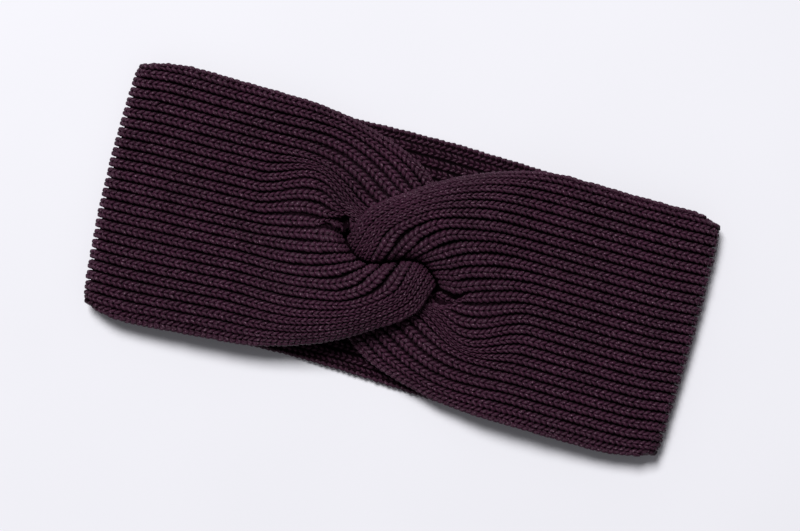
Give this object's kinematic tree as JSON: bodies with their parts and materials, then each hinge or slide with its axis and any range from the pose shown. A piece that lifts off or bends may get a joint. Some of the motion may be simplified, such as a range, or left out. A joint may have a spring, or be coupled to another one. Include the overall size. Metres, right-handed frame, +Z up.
{
  "type": "ear warmer headband",
  "caption": "Chunky rib-knit ear warmer headband: a wide loop lying flat, its front ends folded, hooked through each other and sewn into a raised twist.",
  "frame": {"origin": "on the surface that the plain back lies on, under the middle of the band's outline", "axes": "+X along the band to the right side fold, +Y to the upper edge as worn, +Z up from the plain back to the twist"},
  "size_m": [0.244, 0.1064, 0.0237],
  "materials": {
    "rib_knit": "soft chunky knitted yarn, dark aubergine, matt with a faint sheen"
  },
  "bodies": {
    "root": {"back_band": "rib_knit", "right_wrap": "rib_knit", "left_wrap": "rib_knit"}
  },
  "joints": []
}
